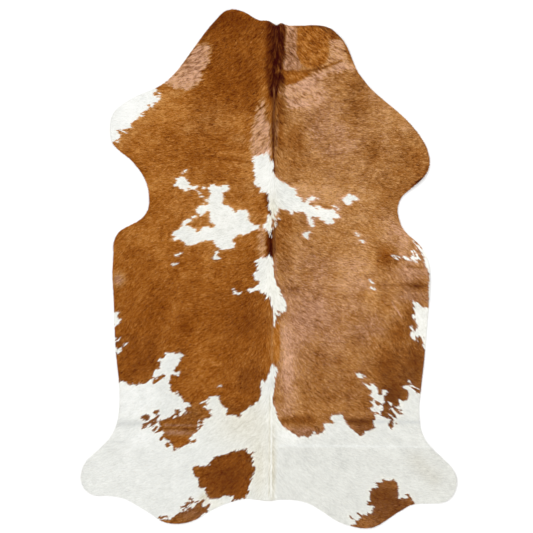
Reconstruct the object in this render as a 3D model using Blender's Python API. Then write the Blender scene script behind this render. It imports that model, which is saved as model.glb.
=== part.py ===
# A hair-on cowhide rug, laid flat: one whole hide with the neck end towards +Y, hair side up.
# Metres, +Z up. The floor is z = 0, and the origin lies under the middle of the rug's outline box.
# The cut edge is a smooth closed curve, the sheet has one thickness, and the soft ridges left by
# folding, with the few places where the edge curls up, raise it off the floor.

from collections import namedtuple
import math

import bpy
from mathutils import Vector
from mathutils.geometry import delaunay_2d_cdt, intersect_point_line
from mathutils.kdtree import KDTree

SHEET_THICKNESS = 0.005   # 2 mm of leather under 3 mm of lying hair
EDGE_STEP = 0.018         # spacing of points along the cut edge
FIELD_STEP = 0.055        # spacing of points where the hide lies flat
CREASE_STEP = 0.040       # spacing of points along a crease
CREASE_ROWS = (-1.6, -0.8, 0.0, 0.8, 1.6)   # rows of points beside a crease, in half widths
CLEAR_OF_EDGE = 0.016     # no inner point lies closer to the cut edge
CLEAR_OF_POINT = 0.55     # no inner point lies closer to another, as a share of its own spacing
FLAT_BELOW = 0.0006       # the sheet lies on the floor where its lift would be less than this
CURVE_STEPS = 8           # straight pieces that measure one span of the edge curve
WELD = 1e-5               # points closer than this are one

HAIR_BROWN = (0.30, 0.115, 0.035, 1.0)
HAIR_ROUGHNESS = 0.65

# The cut edge, clockwise as seen from above, from the notch at the neck. Each row is a point
# (across, along) that the smooth edge curve passes through.
CUT_EDGE = {
    "neck, right lobe": [
        (0.032, 0.986), (0.050, 0.996), (0.075, 0.985), (0.130, 0.985), (0.210, 0.985),
        (0.250, 0.972), (0.280, 0.946), (0.303, 0.920), (0.322, 0.884), (0.350, 0.815)],
    "right foreleg": [
        (0.378, 0.770), (0.426, 0.715), (0.530, 0.627), (0.580, 0.576), (0.616, 0.529),
        (0.641, 0.480), (0.650, 0.430), (0.641, 0.394), (0.617, 0.361), (0.577, 0.327),
        (0.540, 0.294)],
    "right flank": [
        (0.523, 0.260), (0.521, 0.225), (0.536, 0.172), (0.568, 0.132), (0.596, 0.110),
        (0.622, 0.078), (0.643, 0.030), (0.651, -0.025), (0.649, -0.105), (0.636, -0.268),
        (0.631, -0.337), (0.613, -0.495), (0.606, -0.568)],
    "right hind leg": [
        (0.611, -0.640), (0.633, -0.695), (0.667, -0.736), (0.706, -0.772), (0.738, -0.807),
        (0.757, -0.845), (0.754, -0.889), (0.734, -0.928), (0.694, -0.948), (0.629, -0.950),
        (0.580, -0.955)],
    "right rump": [
        (0.530, -0.981), (0.438, -1.040), (0.386, -1.050), (0.329, -1.040), (0.272, -1.019),
        (0.215, -0.981), (0.164, -0.951), (0.110, -0.936), (0.045, -0.933)],
    "left rump": [
        (-0.004, -0.938), (-0.055, -0.933), (-0.092, -0.930), (-0.145, -0.941), (-0.197, -0.959),
        (-0.254, -0.989), (-0.307, -1.020), (-0.368, -1.032), (-0.430, -1.023)],
    "left hind leg": [
        (-0.481, -0.989), (-0.534, -0.957), (-0.586, -0.930), (-0.643, -0.919), (-0.703, -0.917),
        (-0.740, -0.896), (-0.759, -0.853), (-0.750, -0.803), (-0.724, -0.764), (-0.679, -0.724),
        (-0.639, -0.679), (-0.613, -0.623)],
    "left flank": [
        (-0.604, -0.552), (-0.605, -0.471), (-0.620, -0.321), (-0.628, -0.118), (-0.633, -0.025),
        (-0.629, 0.055), (-0.627, 0.110), (-0.604, 0.151), (-0.562, 0.176), (-0.517, 0.201)],
    "left foreleg": [
        (-0.489, 0.240), (-0.484, 0.287), (-0.493, 0.341), (-0.519, 0.394), (-0.562, 0.444),
        (-0.606, 0.479), (-0.633, 0.511), (-0.641, 0.562), (-0.631, 0.623), (-0.590, 0.666),
        (-0.530, 0.700), (-0.461, 0.729), (-0.408, 0.764)],
    "neck, left lobe": [
        (-0.368, 0.805), (-0.331, 0.855), (-0.254, 0.961), (-0.216, 1.005), (-0.181, 1.041),
        (-0.141, 1.050), (-0.096, 1.038), (-0.060, 1.016), (-0.031, 1.005), (0.000, 1.004)],
}

# Ridges that folding and the animal's back leave in the sheet. start and end are (across, along)
# on the crest, height is the crest's lift, and half_width is where the lift falls to a third.
Crease = namedtuple("Crease", "name start end height half_width")
CREASES = [
    Crease("spine at the neck", (0.033, 0.975), (0.013, 0.480), 0.006, 0.030),
    Crease("spine along the back", (0.013, 0.480), (0.009, -0.290), 0.005, 0.026),
    Crease("spine over the rump", (0.009, -0.290), (0.005, -0.925), 0.006, 0.022),
    Crease("right cross fold", (0.005, -0.625), (0.600, -0.613), 0.005, 0.024),
    Crease("left cross fold", (0.005, -0.653), (-0.600, -0.641), 0.004, 0.026),
    Crease("right lower fold", (0.046, -0.722), (0.655, -0.726), 0.003, 0.022),
    Crease("right shoulder fold", (0.054, 0.744), (0.309, 0.845), 0.004, 0.026),
]

# Places where the cut edge curls off the floor: the middle, how far the lift reaches, and how high.
Curl = namedtuple("Curl", "name middle reach height")
CURLS = [
    Curl("neck, left lobe", (-0.145, 1.055), 0.10, 0.006),
    Curl("neck, right corner", (0.312, 0.925), 0.09, 0.005),
    Curl("right foreleg, back edge", (0.612, 0.345), 0.06, 0.010),
    Curl("left foreleg tip", (-0.650, 0.575), 0.09, 0.005),
    Curl("right flank", (0.660, -0.060), 0.10, 0.004),
    Curl("right hind toe", (0.765, -0.860), 0.09, 0.005),
    Curl("left hind toe", (-0.770, -0.855), 0.09, 0.005),
    Curl("right rump", (0.386, -1.060), 0.09, 0.004),
    Curl("left rump", (-0.368, -1.042), 0.09, 0.004),
]


def remove_all_objects():
    for thing in list(bpy.data.objects):
        bpy.data.objects.remove(thing, do_unlink=True)


def curve_point(before, start, end, after, share):
    """Point on the Catmull-Rom span from start to end, at share 0 to 1 of the span."""
    bend = 2 * before - 5 * start + 4 * end - after
    twist = 3 * start - before - 3 * end + after
    return (2 * start + (end - before) * share + bend * share ** 2 + twist * share ** 3) / 2


def smooth_closed_curve(points, steps):
    count = len(points)
    curve = []
    for i in range(count):
        span = [points[(i + k) % count] for k in (-1, 0, 1, 2)]
        curve += [curve_point(*span, step / steps) for step in range(steps)]
    return curve


def evenly_spaced(curve, spacing):
    """The closed curve's points, taken again at equal lengths along it."""
    lengths = [0.0]
    for here, there in zip(curve, curve[1:] + curve[:1]):
        lengths.append(lengths[-1] + (there - here).length)
    count = round(lengths[-1] / spacing)
    even = []
    i = 0
    for k in range(count):
        target = lengths[-1] * k / count
        while lengths[i + 1] < target:
            i += 1
        share = (target - lengths[i]) / (lengths[i + 1] - lengths[i])
        even.append(curve[i].lerp(curve[(i + 1) % len(curve)], share))
    return even


def cut_edge_points():
    """The rug's outline, centred on its own box."""
    table = [Vector(point) for stretch in CUT_EDGE.values() for point in stretch]
    edge = evenly_spaced(smooth_closed_curve(table, CURVE_STEPS), EDGE_STEP)
    middle = Vector([(min(p[i] for p in edge) + max(p[i] for p in edge)) / 2 for i in (0, 1)])
    return [point - middle for point in edge]


def inside(point, outline):
    """True where a line from the point towards +X crosses the outline an odd number of times."""
    crossings = 0
    for here, there in zip(outline, outline[1:] + outline[:1]):
        if (here.y > point.y) != (there.y > point.y):
            crossings += point.x < here.x + (point.y - here.y) * (there.x - here.x) / (there.y - here.y)
    return crossings % 2 == 1


def crease_points(crease):
    """Rows of points along a crease and beside it, so that the facets follow its rounded crest."""
    start, end = Vector(crease.start), Vector(crease.end)
    side = (end - start).orthogonal().normalized()
    count = math.ceil((end - start).length / CREASE_STEP)
    return [
        start.lerp(end, k / count) + side * row * crease.half_width
        for k in range(count + 1)
        for row in CREASE_ROWS
    ]


def field_points(outline):
    """A triangular grid over the rug's box, for the parts that lie flat."""
    reach_x = max(abs(point.x) for point in outline)
    reach_y = max(abs(point.y) for point in outline)
    row_step = FIELD_STEP * math.sqrt(3) / 2
    points = []
    for row in range(-math.ceil(reach_y / row_step), math.ceil(reach_y / row_step) + 1):
        for column in range(-math.ceil(reach_x / FIELD_STEP), math.ceil(reach_x / FIELD_STEP) + 1):
            points.append(Vector(((column + row % 2 / 2) * FIELD_STEP, row * row_step)))
    return points


def inner_points(outline):
    """Points inside the outline, those on creases first, none crowding another or the edge."""
    edge_tree = KDTree(len(outline))
    for i, point in enumerate(outline):
        edge_tree.insert(point.to_3d(), i)
    edge_tree.balance()
    wanted = [(point, CREASE_STEP / 2) for crease in CREASES for point in crease_points(crease)]
    wanted += [(point, FIELD_STEP) for point in field_points(outline)]
    kept = []
    for point, spacing in wanted:
        far_from_edge = edge_tree.find(point.to_3d())[2] > CLEAR_OF_EDGE
        if far_from_edge and inside(point, outline):
            if all((point - other).length > CLEAR_OF_POINT * spacing for other in kept):
                kept.append(point)
    return kept


def lift(point):
    """How far the sheet's underside is off the floor at a point (across, along)."""
    height = 0.0
    for crease in CREASES:
        start, end = Vector(crease.start), Vector(crease.end)
        nearest, share = intersect_point_line(point, start, end)
        nearest = start.lerp(end, min(max(share, 0.0), 1.0))
        away = (point - nearest).length / crease.half_width
        height = max(height, crease.height * math.exp(-away ** 2))
    for curl in CURLS:
        away = (point - Vector(curl.middle)).length / curl.reach
        height = max(height, curl.height * math.exp(-away ** 2))
    return max(height - FLAT_BELOW, 0.0)


def hair_material():
    material = bpy.data.materials.new("cowhide_hair")
    material.use_nodes = True
    shader = material.node_tree.nodes["Principled BSDF"]
    shader.inputs["Base Color"].default_value = HAIR_BROWN
    shader.inputs["Roughness"].default_value = HAIR_ROUGHNESS
    shader.inputs["Metallic"].default_value = 0.0
    return material


def build_cowhide():
    """The hide: its underside follows the lift, and Solidify adds the thickness above it."""
    outline = cut_edge_points()[::-1]
    points = outline + inner_points(outline)
    border = list(range(len(outline)))
    triangles_inside = 1
    plan, _, faces, _, _, _ = delaunay_2d_cdt(points, [], [border], triangles_inside, WELD)
    mesh = bpy.data.meshes.new("cowhide")
    mesh.from_pydata([(p.x, p.y, lift(p)) for p in plan], [], faces)
    mesh.materials.append(hair_material())
    mesh.shade_smooth()
    mesh.set_sharp_from_angle(angle=math.radians(40))
    cowhide = bpy.data.objects.new("cowhide", mesh)
    bpy.context.scene.collection.objects.link(cowhide)
    solid = cowhide.modifiers.new("thickness", "SOLIDIFY")
    solid.thickness = SHEET_THICKNESS
    solid.offset = 1.0
    return cowhide


remove_all_objects()
build_cowhide()
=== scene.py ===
# Looks of the cowhide rug: a thin leather sheet on the hide's own folds, under a coat of short lying
# hair. The coat is some four hundred thousand small locks, each combed, coloured and trimmed by where it
# grows. Metres, +Z up, neck towards +Y.
import math

import bmesh
import bpy
import numpy as np
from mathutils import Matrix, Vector
from mathutils.geometry import delaunay_2d_cdt


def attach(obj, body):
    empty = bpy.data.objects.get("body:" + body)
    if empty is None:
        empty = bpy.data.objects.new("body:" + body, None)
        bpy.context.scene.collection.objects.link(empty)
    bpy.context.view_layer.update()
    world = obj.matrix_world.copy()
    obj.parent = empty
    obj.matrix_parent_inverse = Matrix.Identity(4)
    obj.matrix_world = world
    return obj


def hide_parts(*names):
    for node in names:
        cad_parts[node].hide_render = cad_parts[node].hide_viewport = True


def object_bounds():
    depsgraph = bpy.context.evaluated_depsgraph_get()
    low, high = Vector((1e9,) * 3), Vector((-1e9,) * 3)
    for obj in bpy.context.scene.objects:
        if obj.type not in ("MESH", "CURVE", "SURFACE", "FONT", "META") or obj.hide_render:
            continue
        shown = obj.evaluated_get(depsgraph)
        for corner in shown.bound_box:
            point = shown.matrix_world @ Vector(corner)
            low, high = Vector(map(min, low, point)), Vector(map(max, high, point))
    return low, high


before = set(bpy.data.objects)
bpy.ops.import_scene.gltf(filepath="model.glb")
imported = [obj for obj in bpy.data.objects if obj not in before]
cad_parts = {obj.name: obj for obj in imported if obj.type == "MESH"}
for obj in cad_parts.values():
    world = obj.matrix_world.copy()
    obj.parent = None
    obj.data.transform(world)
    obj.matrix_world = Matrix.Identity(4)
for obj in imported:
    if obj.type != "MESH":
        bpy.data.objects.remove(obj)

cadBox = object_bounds()
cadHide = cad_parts["cowhide"]


# ---- camera, light and floor

view = {
    "middle": (-0.0091, 0.0091),   # the picture's centre, on the floor
    "height": 12.0,                # straight above and far off, so that nothing looks tapered
    "pictureSide": 2.1587,         # metres of floor across the square picture
    "sensor": 36.0,                # millimetres
    "farthest": 60.0,              # nothing past this is drawn
}

studio = {
    "sky": 1.05,                   # even light from all round
    "keyStrength": 0.75,
    "keyTurn": (0.0, math.radians(-38), math.radians(-35)),   # from the upper left of the picture
    "keyWidth": math.radians(35),  # a wide key has soft shadows
    "keyPlace": (-2, 2, 4),        # a sun shines alike from anywhere, so this is only where it is drawn
    "floor": (0.93, 0.93, 0.93, 1.0),
    "floorSide": 60.0,
    "floorGap": 0.0004,            # the floor lies this far under the hide
    "floorRoughness": 0.9,
    "floorSpecular": 0.1,
}


def setCamera():
    bpy.ops.object.camera_add(location=(*view["middle"], view["height"]), rotation=(0, 0, 0))
    camera = bpy.context.object
    camera.data.sensor_width = view["sensor"]
    camera.data.lens = view["sensor"] * view["height"] / view["pictureSide"]
    camera.data.clip_end = view["farthest"]
    bpy.context.scene.camera = camera


def setLight():
    world = bpy.data.worlds.new("studio")
    world.use_nodes = True
    world.node_tree.nodes["Background"].inputs["Color"].default_value = (1, 1, 1, 1)
    world.node_tree.nodes["Background"].inputs["Strength"].default_value = studio["sky"]
    bpy.context.scene.world = world
    bpy.ops.object.light_add(type="SUN", location=studio["keyPlace"], rotation=studio["keyTurn"])
    key = bpy.context.object
    key.data.energy = studio["keyStrength"]
    key.data.angle = studio["keyWidth"]
    bpy.context.scene.view_settings.view_transform = "Standard"


bpy.ops.object.select_all(action="DESELECT")
setCamera()
setLight()
print("camera and light set")


# ---- shaders

class Wire:
    # one socket of a shader tree, so that sums on sockets read as sums
    def __init__(self, tree, socket=None):
        self.tree = tree
        self.socket = socket

    def add(self, kind, settings=(), sockets=(), output=0):
        # any node: its settings first, then the values or wires of its sockets
        node = self.tree.nodes.new(kind)
        for name, value in dict(settings).items():
            if name == "stops":
                self.setStops(node.color_ramp, value)
            else:
                setattr(node, name, value)
        for name, value in dict(sockets).items():
            if isinstance(value, Wire):
                self.tree.links.new(value.socket, node.inputs[name])
            else:
                node.inputs[name].default_value = value
        return Wire(self.tree, node.outputs[output]) if node.outputs else None

    def setStops(self, ramp, stops):
        while len(ramp.elements) < len(stops):
            ramp.elements.new(0.5)
        for element, (place, colour) in zip(ramp.elements, stops):
            element.position = place
            element.color = colour

    def sum(self, operation, first, second):
        return self.add("ShaderNodeMath", {"operation": operation}, {0: first, 1: second})

    def __add__(self, other):
        return self.sum("ADD", self, other)

    def __radd__(self, other):
        return self.sum("ADD", other, self)

    def __sub__(self, other):
        return self.sum("SUBTRACT", self, other)

    def __rsub__(self, other):
        return self.sum("SUBTRACT", other, self)

    def __mul__(self, other):
        return self.sum("MULTIPLY", self, other)

    def __rmul__(self, other):
        return self.sum("MULTIPLY", other, self)

    def __gt__(self, other):
        return self.sum("GREATER_THAN", self, other)

    def blend(self, first, second):
        # this wire is the share of the second colour
        return self.add("ShaderNodeMix", {"data_type": "RGBA"}, {0: self, 6: first, 7: second}, output=2)


def linear(red, green, blue):
    # a colour as it shows on a screen, 0 to 255, turned into the shader's own numbers
    parts = [value / 255 for value in (red, green, blue)]
    return (*(part / 12.92 if part < 0.04045 else ((part + 0.055) / 1.055) ** 2.4 for part in parts), 1.0)


def newMaterial(name, roughness, specular, sheen=0.0):
    material = bpy.data.materials.new(name)
    material.use_nodes = True
    shader = material.node_tree.nodes["Principled BSDF"]
    shader.inputs["Roughness"].default_value = roughness
    shader.inputs["Specular IOR Level"].default_value = specular
    shader.inputs["Sheen Weight"].default_value = sheen
    return material, Wire(material.node_tree), shader


def stopsOf(colours):
    return [(i / (len(colours) - 1), linear(*colour)) for i, colour in enumerate(colours)]


# The coat's colours, darkest to lightest, each named for the hair it is seen on, and tuned against the
# picture's mean colours.
# The rosy row is painted sheen, the colour hair takes where light glances off it; tan lies between it and
# red-brown.
hairColours = {
    "redBrown": [(38, 0, 0), (102, 41, 8), (134, 70, 14), (160, 92, 25), (186, 117, 46), (211, 151, 80)],
    "tan": [(58, 0, 8), (108, 61, 24), (141, 87, 35), (168, 113, 57), (193, 140, 81), (219, 170, 112)],
    "rosy": [(74, 4, 18), (113, 66, 37), (147, 99, 67), (176, 126, 93), (202, 153, 121), (227, 181, 151)],
    "white": [(198, 200, 198), (224, 225, 221), (240, 241, 237), (253, 253, 250)],
    "cream": [(194, 186, 162), (216, 210, 190), (233, 229, 213), (248, 245, 234)],
}

hairFinish = {
    "roughness": 0.5,
    "specular": 0.02,
    "brownRows": (0.03, 0.45),    # the chart of colours: red-brown through tan to rosy, in v
    "whiteRows": (0.56, 0.97),    # white to cream, in v
    "toneColumns": (0.06, 0.94),  # dark to light, in u
}


def hairMaterial():
    # A lock's place on the chart says its colour: across for tone, up for sheen or cream.
    material, wire, shader = newMaterial("lying_hair", hairFinish["roughness"], hairFinish["specular"])
    place = wire.add("ShaderNodeUVMap", {"uv_map": "hairChart"})
    across = wire.add("ShaderNodeSeparateXYZ", {}, {0: place}, output=0)
    up = wire.add("ShaderNodeSeparateXYZ", {}, {0: place}, output=1)
    toneLow, toneHigh = hairFinish["toneColumns"]
    tone = (across - toneLow) * (1 / (toneHigh - toneLow))
    ramps = {}
    for name, colours in hairColours.items():
        ramps[name] = wire.add("ShaderNodeValToRGB", {"stops": stopsOf(colours)}, {0: tone})
    brownLow, brownHigh = hairFinish["brownRows"]
    whiteLow, whiteHigh = hairFinish["whiteRows"]
    share = (up - brownLow) * (2 / (brownHigh - brownLow))
    brown = (share - 1).blend(share.blend(ramps["redBrown"], ramps["tan"]), ramps["rosy"])
    white = ((up - whiteLow) * (1 / (whiteHigh - whiteLow))).blend(ramps["white"], ramps["cream"])
    colour = (up > 0.5).blend(brown, white)
    material.node_tree.links.new(colour.socket, shader.inputs["Base Color"])
    return material


# The skin between the hairs, coloured like the hair above it.
skin = {
    "underDarkHair": linear(70, 26, 10),
    "underLightHair": linear(184, 128, 76),
    "underWhiteHair": linear(225, 222, 210),
    "borderWidth": 0.004,
    "roughness": 0.75,
    "specular": 0.2,
}


def skinMaterial():
    # the hide's upper face, seen only between hairs
    material, wire, shader = newMaterial("skin_under_hair", skin["roughness"], skin["specular"])
    colour = wire.add("ShaderNodeAttribute", {"attribute_name": "undercoat"})
    material.node_tree.links.new(colour.socket, shader.inputs["Base Color"])
    return material


suede = {
    "light": linear(206, 194, 172),
    "dark": linear(172, 156, 130),
    "cloudScale": 9.0,
    "cloudDetail": 5.0,
    "cloudShare": 0.7,
    "napScale": 420.0,
    "napDetail": 3.0,
    "napShare": 0.5,
    "napDepth": 0.0004,
    "napStrength": 0.6,
    "lighter": 0.1,
    "edgeDarker": 0.25,     # the cut edge is darker than the flesh side by this share
    "roughness": 0.9,
    "specular": 0.15,
    "sheen": 0.2,
}


def suedeMaterial(name, darker):
    # the flesh side and the cut edge: brushed leather with a short nap
    material, wire, shader = newMaterial(name, suede["roughness"], suede["specular"], sheen=suede["sheen"])
    place = wire.add("ShaderNodeTexCoord", output=3)
    cloudSockets = {"Vector": place, "Scale": suede["cloudScale"], "Detail": suede["cloudDetail"]}
    napSockets = {"Vector": place, "Scale": suede["napScale"], "Detail": suede["napDetail"]}
    clouds = wire.add("ShaderNodeTexNoise", {}, cloudSockets)
    nap = wire.add("ShaderNodeTexNoise", {}, napSockets)
    share = clouds * suede["cloudShare"] + nap * suede["napShare"] - suede["lighter"] + darker
    colour = share.blend(suede["light"], suede["dark"])
    bumpSockets = {"Height": nap, "Distance": suede["napDepth"], "Strength": suede["napStrength"]}
    bump = wire.add("ShaderNodeBump", {}, bumpSockets)
    material.node_tree.links.new(colour.socket, shader.inputs["Base Color"])
    material.node_tree.links.new(bump.socket, shader.inputs["Normal"])
    return material


# ---- the cut edge and the relief, both as the solid hide has them

edgeReading = {
    "weld": 1e-5,        # corners of the solid closer than this are one
    "facesDown": -0.7,   # a face whose normal points down more than this is of the underside
    "stepsPerSpan": 3,   # points of the smooth edge for each of the solid's
}


def cutEdge(node):
    # The rim of the node's underside, in order, as (across, along), anticlockwise.
    shell = bmesh.new()
    shell.from_mesh(node.data)
    bmesh.ops.remove_doubles(shell, verts=shell.verts, dist=edgeReading["weld"])
    shell.normal_update()
    around = {}
    for edge in shell.edges:
        under = sum(face.normal.z < edgeReading["facesDown"] for face in edge.link_faces)
        if under == 1:
            first, second = edge.verts
            around.setdefault(first, []).append(second)
            around.setdefault(second, []).append(first)
    start = next(iter(around))
    loop = [start]
    before, here = None, start
    while True:
        following = [vert for vert in around[here] if vert is not before]
        before, here = here, following[0]
        if here is start:
            break
        loop.append(here)
    rim = [(vert.co.x, vert.co.y) for vert in loop]
    shell.free()
    area = sum(a[0] * b[1] - b[0] * a[1] for a, b in zip(rim, rim[1:] + rim[:1])) / 2
    return rim if area > 0 else rim[::-1]


def smoothLoop(points, steps):
    # a closed Catmull-Rom curve through the points
    points = np.array(points)
    before, after, beyond = np.roll(points, 1, 0), np.roll(points, -1, 0), np.roll(points, -2, 0)
    spans = []
    for share in np.arange(steps) / steps:
        bend = 2 * before - 5 * points + 4 * after - beyond
        twist = 3 * points - before - 3 * after + beyond
        spans.append((2 * points + (after - before) * share + bend * share ** 2 + twist * share ** 3) / 2)
    return np.stack(spans, axis=1).reshape(-1, 2)


rim = smoothLoop(cutEdge(cadHide), edgeReading["stepsPerSpan"])
print("cut edge read from the solid:", len(rim), "points")

# Folds: from, to, height, half width.
folds = {
    "spine at the neck": ((0.033, 0.975), (0.013, 0.480), 0.006, 0.030),
    "spine along the back": ((0.013, 0.480), (0.009, -0.290), 0.005, 0.026),
    "spine over the rump": ((0.009, -0.290), (0.005, -0.925), 0.006, 0.022),
    "right cross fold": ((0.005, -0.625), (0.600, -0.613), 0.005, 0.024),
    "left cross fold": ((0.005, -0.653), (-0.600, -0.641), 0.004, 0.026),
    "right lower fold": ((0.046, -0.722), (0.655, -0.726), 0.003, 0.022),
    "right shoulder fold": ((0.054, 0.744), (0.309, 0.845), 0.004, 0.026),
}

# Where the cut edge curls off the floor: middle, reach, height.
curls = {
    "neck, left lobe": ((-0.145, 1.055), 0.10, 0.006),
    "neck, right corner": ((0.312, 0.925), 0.09, 0.005),
    "right foreleg, back edge": ((0.612, 0.345), 0.06, 0.010),
    "left foreleg tip": ((-0.650, 0.575), 0.09, 0.005),
    "right flank": ((0.660, -0.060), 0.10, 0.004),
    "right hind toe": ((0.765, -0.860), 0.09, 0.005),
    "left hind toe": ((-0.770, -0.855), 0.09, 0.005),
    "right rump": ((0.386, -1.060), 0.09, 0.004),
    "left rump": ((-0.368, -1.042), 0.09, 0.004),
}

relief = {
    "flatBelow": 0.0006,    # the hide lies on the floor where its lift would be less
    "rippleHeight": 0.0012,
    "rippleLength": 0.16,
    "rippleFrom": 0.45,     # only the noise above this lifts the hide
    "rippleSeed": 11,
}


def lineDistance(x, y, start, end):
    # how far each place is from a straight line between two points
    runX, runY = end[0] - start[0], end[1] - start[1]
    share = ((x - start[0]) * runX + (y - start[1]) * runY) / (runX ** 2 + runY ** 2)
    share = np.clip(share, 0.0, 1.0)
    return np.hypot(x - start[0] - share * runX, y - start[1] - share * runY)


def cloud(x, y, size, seed):
    # soft noise from 0 to 1, with lumps of about the given size
    table = np.random.default_rng(seed).random((256, 256))
    across, along = x / size + 300.5, y / size + 300.5
    column, row = np.floor(across).astype(int), np.floor(along).astype(int)
    u, v = across - column, along - row
    u, v = u * u * (3 - 2 * u), v * v * (3 - 2 * v)
    low = table[row % 256, column % 256] * (1 - u) + table[row % 256, (column + 1) % 256] * u
    high = table[(row + 1) % 256, column % 256] * (1 - u) + table[(row + 1) % 256, (column + 1) % 256] * u
    return low * (1 - v) + high * v


def liftOf(x, y):
    # how far the hide's underside is off the floor
    height = np.zeros_like(x)
    for start, end, top, halfWidth in folds.values():
        height = np.maximum(height, top * np.exp(-(lineDistance(x, y, start, end) / halfWidth) ** 2))
    for middle, reach, top in curls.values():
        away = np.hypot(x - middle[0], y - middle[1]) / reach
        height = np.maximum(height, top * np.exp(-away ** 2))
    waves = cloud(x, y, relief["rippleLength"], relief["rippleSeed"])
    ripple = np.maximum(waves - relief["rippleFrom"], 0) * 2 * relief["rippleHeight"]
    return np.maximum(height - relief["flatBelow"], 0) + ripple


# ---- charts: what is known of each place on the hide, on a fine square grid

chart = {
    "cell": 0.0025,
    "margin": 0.03,
    "reach": 0.05,   # depths inside an outline are worked out this far from it
}
chartLow = np.array([cadBox[0].x, cadBox[0].y]) - chart["margin"]
chartHigh = np.array([cadBox[1].x, cadBox[1].y]) + chart["margin"]
columns, rows = (np.ceil((chartHigh - chartLow) / chart["cell"]).astype(int) + 1).tolist()
columnX = chartLow[0] + np.arange(columns) * chart["cell"]
rowY = chartLow[1] + np.arange(rows) * chart["cell"]
gridX, gridY = np.meshgrid(columnX, rowY)


def read(field, x, y):
    # a chart's value at each place, blended from the four cells around it
    across = np.clip((x - chartLow[0]) / chart["cell"], 0, columns - 1.001)
    along = np.clip((y - chartLow[1]) / chart["cell"], 0, rows - 1.001)
    i, j = across.astype(int), along.astype(int)
    u, v = across - i, along - j
    low = field[j, i] * (1 - u) + field[j, i + 1] * u
    high = field[j + 1, i] * (1 - u) + field[j + 1, i + 1] * u
    return low * (1 - v) + high * v


def depthInside(outline, reach=chart["reach"]):
    # how deep inside a closed outline each cell lies, negative outside, up to the reach
    away = np.full(gridX.shape, reach)
    inside = np.zeros(gridX.shape, bool)
    outline = [tuple(point) for point in outline]
    for start, end in zip(outline, outline[1:] + outline[:1]):
        near = (
            slice(*np.searchsorted(rowY, (min(start[1], end[1]) - reach, max(start[1], end[1]) + reach))),
            slice(*np.searchsorted(columnX, (min(start[0], end[0]) - reach, max(start[0], end[0]) + reach))),
        )
        away[near] = np.minimum(away[near], lineDistance(gridX[near], gridY[near], start, end))
        crossed = (rowY >= min(start[1], end[1])) & (rowY < max(start[1], end[1]))
        if crossed.any():
            meets = start[0] + (rowY[crossed] - start[1]) * (end[0] - start[0]) / (end[1] - start[1])
            inside[crossed] ^= gridX[crossed] < meets[:, None]
    return np.where(inside, away, -away)


def ease(value):
    # 0 below 0, 1 above 1, and a soft step between
    value = np.clip(value, 0.0, 1.0)
    return value * value * (3 - 2 * value)


depth = depthInside(rim)
print("chart of the hide:", columns, "by", rows)


# ---- combing: the way the hair lies

# Droop, in degrees below straight out from the spine, at rows of places: out from the spine, along the back.
combing = {
    "reach": 0.10,
    "spineReach": 0.013,
    "waver": math.radians(9),
    "waverSize": 0.05,
    "waverSeed": 21,
    "farShare": 1e-9,       # how little a far place counts, so that every cell has an answer
    "farSoftness": 0.01,
    "rows": {
        0.04: {0.90: 55, 0.70: 50, 0.45: 50, 0.10: 50, -0.15: 60, -0.40: 75, -0.65: 50, -0.85: 60},
        0.15: {0.90: 35, 0.65: 10, 0.40: 2, 0.15: 8, -0.05: 12, -0.25: 30, -0.50: 35, -0.70: 30, -0.90: 40},
        0.30: {0.85: 25, 0.65: 2, 0.40: 0, 0.15: 12, -0.10: 20, -0.30: 28, -0.50: 30, -0.70: 25, -0.90: 30},
        0.47: {0.60: 3, 0.40: 5, 0.15: 22, -0.10: 35, -0.25: 48, -0.45: 32, -0.65: 28, -0.85: 12},
        0.60: {0.50: 5, 0.00: 45, -0.25: 60, -0.45: 35, -0.70: 20, -0.85: 8},
    },
}

# The line of the back, as across at along, from the rump to the neck.
spine = {
    "along": (-0.94, -0.29, 0.05, 0.16, 0.43, 0.50, 0.58, 0.68, 0.74, 0.80, 1.00),
    "across": (0.005, 0.009, 0.013, 0.015, 0.023, 0.018, 0.019, 0.025, 0.024, 0.034, 0.033),
}

spineAcross = np.interp(rowY, spine["along"], spine["across"])[:, None]
outFromSpine = np.abs(gridX - spineAcross)
side = np.where(gridX > spineAcross, 1.0, -1.0)


def combedField():
    # the lie of the hair as a unit arrow on each cell of the chart
    outward = np.zeros(gridX.shape)
    downward = np.zeros(gridX.shape)
    for out, row in combing["rows"].items():
        for along, droop in row.items():
            near = np.exp(-((outFromSpine - out) ** 2 + (gridY - along) ** 2) / combing["reach"] ** 2)
            softened = combing["farSoftness"] + (outFromSpine - out) ** 2 + (gridY - along) ** 2
            near += combing["farShare"] / softened
            outward += near * math.cos(math.radians(droop))
            downward += near * math.sin(math.radians(droop))
    onSpine = np.exp(-(outFromSpine / combing["spineReach"]) ** 2)
    angle = np.arctan2(downward, outward)
    angle += (math.pi / 2 - angle) * onSpine
    waver = cloud(gridX, gridY, combing["waverSize"], combing["waverSeed"])
    angle += (waver - 0.5) * 2 * combing["waver"]
    return side * np.cos(angle), -np.sin(angle)


lieX, lieY = combedField()


def streaks(seed, grain, strides, stride):
    # noise of the given grain drawn out along the hair, with mean 0 and spread 1
    grains = cloud(gridX, gridY, grain, seed)
    total = grains.copy()
    for way in (-stride, stride):
        x, y = gridX, gridY
        for _ in range(strides):
            goX, goY = read(lieX, x, y), read(lieY, x, y)
            x, y = x + way * goX, y + way * goY
            total += read(grains, x, y)
    return (total - total.mean()) / total.std()


streakKinds = {
    "short": {"seed": 31, "grain": 0.0036, "strides": 2, "stride": 0.0030},
    "long": {"seed": 32, "grain": 0.0055, "strides": 6, "stride": 0.0045},
}
shortStreaks = streaks(**streakKinds["short"])
longStreaks = streaks(**streakKinds["long"])
print("hair combed")
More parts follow.
